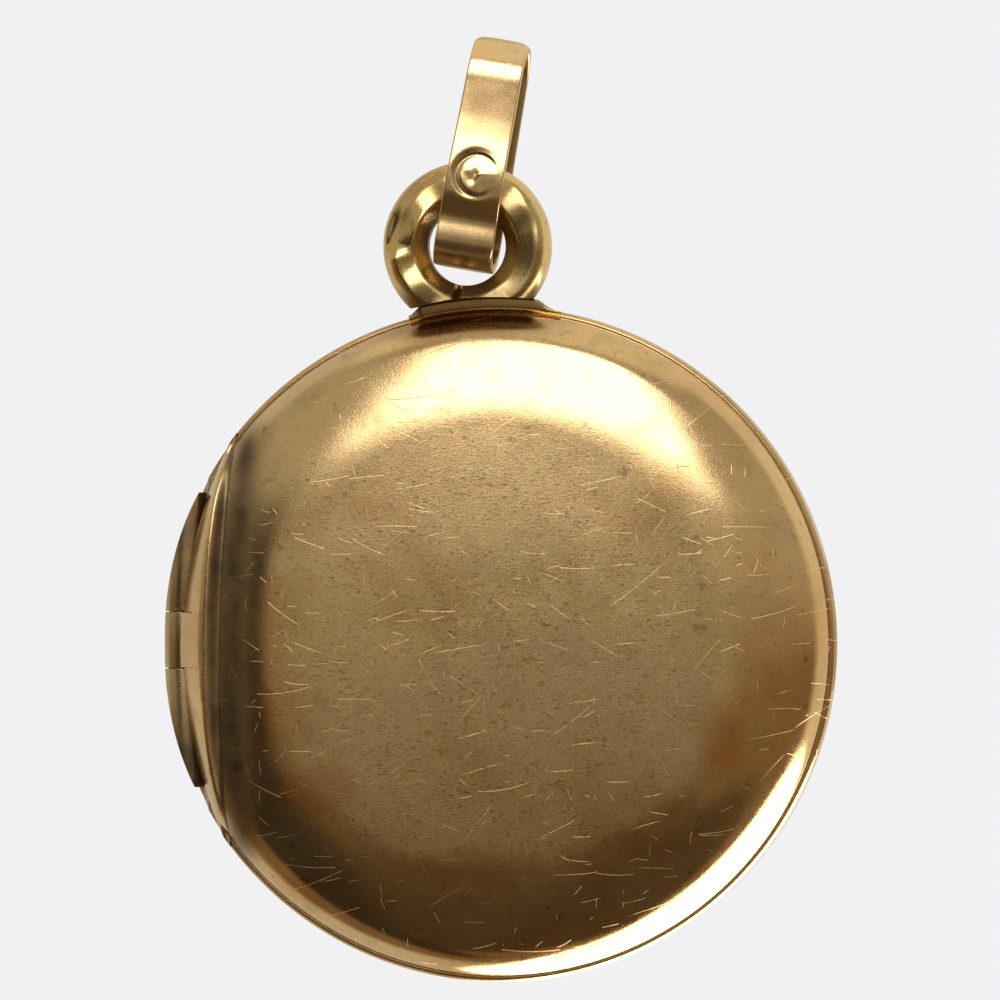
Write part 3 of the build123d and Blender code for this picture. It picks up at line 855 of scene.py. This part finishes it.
def strokes(n, cell, length, width, angle, spread, share, seed):
    """Separate thin scratches, seen from the front: one in some cells of a scattered pattern."""
    flat = n.mapped(n.place, scale=(1 / cell,) * 3, turn=(90, 0, 0), move=(seed, seed * 1.7, 0))
    cells = n.tree.nodes.new("ShaderNodeTexVoronoi")
    cells.voronoi_dimensions = "2D"
    cells.inputs["Scale"].default_value = 1.0
    n.link(flat, cells.inputs["Vector"])
    offset = n.tree.nodes.new("ShaderNodeVectorMath")
    offset.operation = "SUBTRACT"
    n.link(flat, offset.inputs[0])
    n.link(cells.outputs["Position"], offset.inputs[1])
    chance = n.tree.nodes.new("ShaderNodeSeparateColor")
    n.link(cells.outputs["Color"], chance.inputs[0])
    turn = n.tree.nodes.new("ShaderNodeVectorRotate")
    turn.rotation_type = "Z_AXIS"
    n.link(offset.outputs[0], turn.inputs["Vector"])
    span = n.math("MULTIPLY", n.math("SUBTRACT", chance.outputs[0], 0.5), math.radians(spread))
    n.link(n.math("ADD", span, math.radians(angle)), turn.inputs["Angle"])
    parts = n.tree.nodes.new("ShaderNodeSeparateXYZ")
    n.link(turn.outputs[0], parts.inputs[0])
    bend = n.math("MULTIPLY", n.math("SUBTRACT", chance.outputs[2], 0.5), 0.35)
    arch = n.math("MULTIPLY", n.math("MULTIPLY", parts.outputs[0], parts.outputs[0]), bend)
    off_line = n.math("ABSOLUTE", n.math("ADD", parts.outputs[1], arch))
    across = n.ramp(off_line, 0.25 * width / cell, width / cell, 1.0, 0.0)
    half = n.math("MULTIPLY", n.math("ADD", chance.outputs[2], 0.35), 0.5 * length / cell)
    along = n.math("ABSOLUTE", parts.outputs[0])
    within = n.ramp(n.math("SUBTRACT", along, half), -0.25 * length / cell, 0.0, 1.0, 0.0)
    kept = n.math("LESS_THAN", chance.outputs[1], share)
    return n.math("MULTIPLY", n.math("MULTIPLY", across, within), kept)


GOLD = (0.80, 0.555, 0.265)
COPPER = (0.60, 0.33, 0.125)
OLIVE = (0.50, 0.40, 0.165)
# Dark colour for tarnish spots and dirt streaks, and for painted shade
SOOT_AND_SHADE = (0.075, 0.055, 0.035)


def gold(name, base=GOLD, roughness=0.24, scratches=1.0, tarnish=1.0, shade_paint=1.0, grain=1.0, matt=0.0,
         smears=(), dark_beyond=None):
    """Worn yellow gold: uneven alloy tint, hairline scratches, matt patches and painted shade in corners and
    creases.
    """
    n = material_nodes(name)
    n.shader.inputs["Metallic"].default_value = 1.0
    broad = n.noise(n.place, 0.17, 3.0, 0.4)
    small = n.noise(n.mapped(n.place, move=(9, 4, 2)), 0.9, 4.0, 0.3)
    fine = n.noise(n.place, 17.0, 3.0)
    colour = n.mix(n.math("MULTIPLY", n.ramp(broad, 0.46, 0.66), 0.55 * tarnish), base, COPPER)
    colour = n.mix(n.math("MULTIPLY", n.ramp(small, 0.50, 0.72), 0.42 * tarnish), colour, OLIVE)
    spots = n.ramp(n.noise(n.mapped(n.place, move=(3, 8, 5)), 2.6, 5.0), 0.60, 0.74)
    colour = n.mix(n.math("MULTIPLY", spots, 0.35 * tarnish), colour, SOOT_AND_SHADE)
    lines = strokes(n, 0.8, 1.1, 0.020, 4, 30, 0.20, 1.3)
    for cell, length, width, angle, spread, share, seed in (
            (1.6, 2.8, 0.024, 8, 24, 0.26, 2.3), (1.3, 1.8, 0.020, -28, 20, 0.16, 4.1),
            (2.2, 3.0, 0.020, 34, 40, 0.22, 6.2), (0.5, 0.6, 0.018, 0, 200, 0.16, 8.4)):
        lines = n.math("MAXIMUM", lines, strokes(n, cell, length, width, angle, spread, share, seed))
    rub = n.ramp(n.distance(n.place, CENTRE), 6.0, 10.8, 1.0, 0.0)
    streaks = n.noise(n.mapped(n.place, scale=(5, 5, 16)), 1.0, 2.0)
    light = tuple(min(c * 1.25, 1.0) for c in base)
    lines = n.math("MULTIPLY", lines, n.ramp(broad, 0.35, 0.6, 0.35, 1.0))
    colour = n.mix(n.math("MULTIPLY", lines, 0.45 * scratches), colour, light)
    speckle = n.math("ADD", n.math("MULTIPLY", rub, 0.45), 0.12)
    speckle = n.math("MULTIPLY", n.ramp(streaks, 0.56, 0.72), speckle)
    colour = n.mix(n.math("MULTIPLY", speckle, tarnish), colour, SOOT_AND_SHADE)
    colour = n.mix(1.0, colour, n.ramp(fine, 0.3, 0.7, 0.90, 1.06), "MULTIPLY")
    for place, reach in smears:
        smear = n.distance(n.place, CENTRE + np.array([place[0], 0, place[1]]), reach)
        smear = n.ramp(n.math("ADD", smear, n.math("MULTIPLY", small, 0.9)), 0.7, 1.5, 0.75, 0.0)
        colour = n.mix(smear, colour, COPPER)
    # Painted shade: the mesh's darkening attribute, made patchy and mixed towards the dark colour; it also
    # roughens the surface
    shade_mask = n.attribute("painted_shade")
    # Painted shade on the knuckles: some everywhere, deepening towards their outer ends
    if dark_beyond:
        out = n.distance(n.place, HINGE + CENTRE, (1e6, 1.0))
        shade_mask = n.math("MAXIMUM", shade_mask, n.ramp(out, dark_beyond[0], dark_beyond[1], 0.28, 0.97))
    patchy_shade = n.math("MULTIPLY", shade_mask, n.ramp(small, 0.25, 0.65, 1.0, 0.76))
    colour = n.mix(n.math("MULTIPLY", patchy_shade, 0.98 * shade_paint), colour, SOOT_AND_SHADE)
    n.link(colour, n.shader.inputs["Base Color"])
    rough = n.ramp(small, 0.3, 0.7, roughness * 0.8, roughness * 1.2)
    rough = n.math("ADD", rough, n.math("MULTIPLY", rub, matt))
    rough = n.math("ADD", rough, n.math("MULTIPLY", lines, 0.35 * scratches))
    rough = n.math("ADD", rough, n.math("MULTIPLY", n.ramp(fine, 0.45, 0.75), 0.06 * grain))
    rough = n.math("ADD", rough, n.math("MULTIPLY", patchy_shade, 0.30))
    n.link(rough, n.shader.inputs["Roughness"])
    height = n.math("MULTIPLY", fine, 0.40 * grain)
    height = n.math("SUBTRACT", height, n.math("MULTIPLY", lines, 0.45 * scratches))
    height = n.math("ADD", height, n.math("MULTIPLY", n.math("MULTIPLY", streaks, rub), 0.5 * grain))
    n.bump(height, 0.006)
    return n.material


def glass():
    """Clear flat glass with faint dust."""
    n = material_nodes("Clear_glass")
    n.shader.inputs["Transmission Weight"].default_value = 1.0
    n.shader.inputs["IOR"].default_value = 1.5
    n.shader.inputs["Alpha"].default_value = 0.2
    dust = n.ramp(n.noise(n.place, 3.0, 5.0), 0.45, 0.8, 0.02, 0.12)
    n.link(dust, n.shader.inputs["Roughness"])
    tint = n.mix(n.ramp(n.noise(n.place, 0.4), 0.3, 0.7), (0.97, 0.98, 0.97), (0.93, 0.95, 0.93))
    n.link(tint, n.shader.inputs["Base Color"])
    return n.material


def paper():
    """Aged card: foxing and fibres."""
    n = material_nodes("Aged_card")
    n.shader.inputs["Specular IOR Level"].default_value = 0.25
    broad = n.noise(n.place, 0.35, 4.0)
    foxing = n.ramp(n.noise(n.mapped(n.place, move=(5, 0, 3)), 1.6, 5.0), 0.60, 0.74)
    fibres = n.noise(n.mapped(n.place, scale=(3, 3, 14)), 1.0, 4.0)
    colour = n.mix(n.ramp(broad, 0.35, 0.65), (0.72, 0.62, 0.45), (0.80, 0.72, 0.56))
    colour = n.mix(n.math("MULTIPLY", foxing, 0.55), colour, (0.42, 0.27, 0.13))
    colour = n.mix(n.math("MULTIPLY", n.ramp(fibres, 0.5, 0.75), 0.25), colour, (0.60, 0.50, 0.34))
    n.link(colour, n.shader.inputs["Base Color"])
    n.link(n.ramp(fibres, 0.2, 0.8, 0.72, 0.95), n.shader.inputs["Roughness"])
    n.bump(fibres, 0.012)
    return n.material


# Coppery smears on the case: a place and a reach each way, from the middle of the case
SMEARS = (((-0.8, -8.2), (3.4, 1.0)), ((8.4, -3.5), (1.3, 1.7)),
          ((-6.4, -5.4), (1.8, 1.6)), ((5.5, -7.3), (2.0, 0.9)))
CASE_GOLD = gold("Dome_gold", roughness=0.12, matt=0.12, smears=SMEARS)
RIDGE_GOLD = gold("Ridge_gold", roughness=0.17, scratches=0.35, tarnish=1.1, grain=1.4)
# The knuckles get painted shade that deepens towards their outer ends
KNUCKLE_GOLD = gold("Knuckle_gold", base=(0.74, 0.54, 0.28), roughness=0.18, scratches=0.4, grain=1.3,
                    dark_beyond=(2.6, 4.4))
PIN_GOLD = gold("Pin_gold", base=(0.60, 0.47, 0.28), roughness=0.32, scratches=0.4)
RING_GOLD = gold("Ring_gold", base=(0.80, 0.575, 0.235), roughness=0.16, scratches=0.25,
                 tarnish=1.1, grain=1.1)
BAIL_GOLD = gold("Bail_gold", base=(0.88, 0.63, 0.31), roughness=0.19, scratches=0.15,
                 tarnish=0.45, grain=0.5)
INNER_GOLD = gold("Inner_gilt", base=(0.86, 0.62, 0.28), roughness=0.16, scratches=0.3, tarnish=0.6, shade_paint=0.8)
SEAT_GOLD = gold("Ledge_gold", base=(0.78, 0.56, 0.27), roughness=0.28, scratches=0.3, tarnish=0.8)
GLASS = glass()
CARD = paper()

# ---- Pieces
finish_piece(shell(FRONT), "front_leaf", "case", CASE_GOLD, "front_shell")
finish_piece(shell(REAR), "rear_leaf", "case", CASE_GOLD, "rear_shell")
finish_piece(front_ridge(), "front_leaf", "hinge", RIDGE_GOLD, "front_hinge_bearer")
finish_piece(rear_bearer(), "rear_leaf", "hinge", RIDGE_GOLD, "rear_hinge_bearer")
for place, body in (("middle", "front_leaf"), ("upper", "rear_leaf"), ("lower", "rear_leaf")):
    node = place + "_knuckle"
    tube = knuckle(node, place.capitalize() + "_knuckle_tube")
    finish_piece(tube, body, "hinge", KNUCKLE_GOLD, node)
finish_piece(hinge_pin(), "rear_leaf", "pin", PIN_GOLD, "hinge_pin")
finish_piece(suspension_ring(), "front_leaf", "ring", RING_GOLD, "suspension_ring")
finish_piece(ring_foot(), "front_leaf", "ring", RING_GOLD, "ring_foot")
finish_piece(bail(), "bail", "bail", BAIL_GOLD, "bail")
finish_piece(photo_frame(FRONT), "front_leaf", "inner_frame", INNER_GOLD, "front_photo_frame")
finish_piece(photo_frame(REAR), "rear_leaf", "inner_frame", INNER_GOLD, "rear_photo_frame")

for node, material in (("front_seat_ring", SEAT_GOLD), ("rear_snap_collar", SEAT_GOLD),
                       ("front_window", GLASS), ("rear_window", GLASS),
                       ("front_photo_card", CARD), ("rear_photo_card", CARD)):
    materials = frame["nodes"][node].data.materials
    materials.clear()
    materials.append(material)

# ---- Camera: to the object's right of straight in front, level, with a long lens
VIEW_AZIMUTH = math.radians(5.5)
VIEW_DISTANCE = 0.5
VIEW_WIDTH = 37.05          # millimetres across the picture at the seam
AIM = CENTRE + np.array([0.0, 0.0, 5.335])
camera_data = bpy.data.cameras.new("Camera")
camera_data.sensor_width = 36.0
camera_data.lens = camera_data.sensor_width * VIEW_DISTANCE / (VIEW_WIDTH * MM)
camera_data.clip_start = 0.01
camera_data.clip_end = 100.0
camera = bpy.data.objects.new("Camera", camera_data)
bpy.context.scene.collection.objects.link(camera)
away = Vector((math.sin(VIEW_AZIMUTH), -math.cos(VIEW_AZIMUTH), 0.0))
camera.location = Vector(AIM * MM) + away * VIEW_DISTANCE
camera.rotation_euler = (-away).to_track_quat("-Z", "Y").to_euler()
bpy.context.scene.camera = camera


# ---- Studio
# What the gold reflects. A patch is two azimuths, to the right of straight in front, two
# elevations and a softness, all in degrees, and a colour. Later patches lie over earlier ones.
LOW_GLOW = (0.23, 0.155, 0.09)
ROOM = (0.46, 0.43, 0.37)
BACKDROP = (0.880, 0.880, 0.896)
PATCHES = (
    (-180, -95, -80, 90, 12, (0.60, 0.57, 0.52)),
    (95, 181, -80, 90, 12, (0.78, 0.73, 0.64)),
    (-181, 181, 58, 95, 6, (0.80, 0.74, 0.64)),
    (-20, 14, -9, 7, 3, (0.34, 0.315, 0.26)),
    (-9, 6, -7, 5.5, 2, (0.20, 0.19, 0.16)),
    (-32, 34, -60, -18, 2.5, (0.085, 0.060, 0.034)),
    (-20, 14, -24, -11, 2.5, (0.11, 0.078, 0.045)),
    (-50, -25, -75, 14, 4, (0.045, 0.036, 0.028)),
    (-20, 21, 17.5, 48, 3.2, (3.7, 3.6, 3.7)),
)


def world():
    """Pale backdrop for the camera; for reflections a soft room that is darker in front and on the left."""
    made = bpy.data.worlds.new("Studio")
    made.use_nodes = True
    n = Nodes(made.node_tree)
    n.tree.nodes.clear()
    where = n.tree.nodes.new("ShaderNodeTexCoord")
    split = n.tree.nodes.new("ShaderNodeSeparateXYZ")
    n.link(where.outputs["Generated"], split.inputs[0])
    front = n.math("MULTIPLY", split.outputs["Y"], -1.0)
    azimuth = n.math("DEGREES", n.math("ARCTAN2", split.outputs["X"], front))
    elevation = n.math("DEGREES", n.math("ARCSINE", split.outputs["Z"]))

    def between(value, low, high, soft):
        """1 between two angles, 0 outside, with soft edges."""
        below = n.math("SUBTRACT", 1.0, n.ramp(value, high - soft, high + soft))
        return n.math("MULTIPLY", n.ramp(value, low - soft, low + soft), below)

    colour = n.mix(n.ramp(elevation, -6, 8), LOW_GLOW, ROOM)
    for left, right, low, high, soft, tint in PATCHES:
        share = n.math("MULTIPLY", between(azimuth, left, right, soft), between(elevation, low, high, soft))
        colour = n.mix(share, colour, tint)
    path = n.tree.nodes.new("ShaderNodeLightPath")
    seen = n.mix(path.outputs["Is Camera Ray"], colour, BACKDROP)
    background = n.tree.nodes.new("ShaderNodeBackground")
    n.link(seen, background.inputs["Color"])
    output = n.tree.nodes.new("ShaderNodeOutputWorld")
    n.link(background.outputs[0], output.inputs["Surface"])
    return made


bpy.context.scene.world = world()
bpy.context.scene.view_settings.view_transform = "Standard"

FLOOR_Z = -0.30
FLOOR_RADIUS = 0.38
FLOOR_MIDDLE = (0.32, 0.20)


def floor():
    """A plain pale disc below the object."""
    ring = np.linspace(0, 2 * math.pi, 96, endpoint=False)
    mesh = bpy.data.meshes.new("Floor")
    points = [(FLOOR_MIDDLE[0] + FLOOR_RADIUS * math.cos(t),
               FLOOR_MIDDLE[1] + FLOOR_RADIUS * math.sin(t), FLOOR_Z) for t in ring]
    mesh.from_pydata(points, [], [list(range(len(points)))])
    obj = bpy.data.objects.new("Floor", mesh)
    bpy.context.scene.collection.objects.link(obj)
    pale = bpy.data.materials.new("Pale_floor")
    pale.use_nodes = True
    pale.node_tree.nodes["Principled BSDF"].inputs["Base Color"].default_value = (0.87, 0.87, 0.88, 1)
    pale.node_tree.nodes["Principled BSDF"].inputs["Roughness"].default_value = 0.8
    mesh.materials.append(pale)


def glow_from_floor():
    """Soft light lying on the floor and shining up; the camera doesn't see it."""
    data = bpy.data.lights.new("Under_light", "AREA")
    data.shape = "DISK"
    data.size = 2 * FLOOR_RADIUS
    data.energy = UNDER_RADIANCE * math.pi * math.pi * FLOOR_RADIUS ** 2
    data.color = (1.0, 0.96, 0.90)
    obj = bpy.data.objects.new("Under_light", data)
    obj.location = (*FLOOR_MIDDLE, FLOOR_Z + 0.002)
    obj.rotation_euler = (math.pi, 0, 0)
    obj.visible_camera = False
    bpy.context.scene.collection.objects.link(obj)


UNDER_RADIANCE = 4.2
floor()
glow_from_floor()
